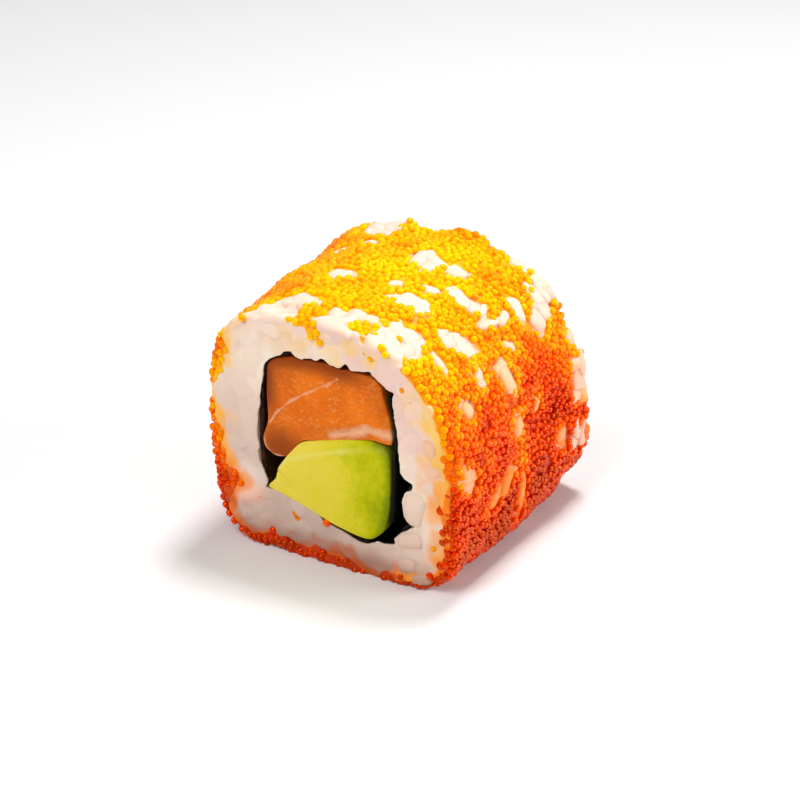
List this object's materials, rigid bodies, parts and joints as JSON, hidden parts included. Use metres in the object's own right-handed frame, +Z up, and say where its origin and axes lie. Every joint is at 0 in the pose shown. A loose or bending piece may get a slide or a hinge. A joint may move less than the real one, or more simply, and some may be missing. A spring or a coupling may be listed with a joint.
{
  "type": "masago roll",
  "caption": "One inside-out sushi roll piece: rice coated in small fish roe round a seaweed tube with salmon and avocado.",
  "frame": {"origin": "middle of the underside, on the surface that the roll stands on", "axes": "+Z up; +Y along the roll, from the cut face that the picture shows to the rear one; +X to the right of that face"},
  "size_m": [0.0414, 0.037, 0.0371],
  "materials": {
    "rice": "sticky cooked white rice, satin and slightly translucent, stained orange beside the roe",
    "nori": "damp seaweed sheet, near black and crinkled, with a faint gloss",
    "salmon": "raw salmon, moist and fine grained, with pale fat lines",
    "avocado": "ripe avocado flesh, yellow to green, smooth and buttery",
    "roe": "small fish eggs, wet and glossy, yellow on top and orange to red on the sides"
  },
  "bodies": {
    "root": {"rice": "rice", "nori": "nori", "salmon": "salmon", "avocado": "avocado"}
  },
  "joints": []
}
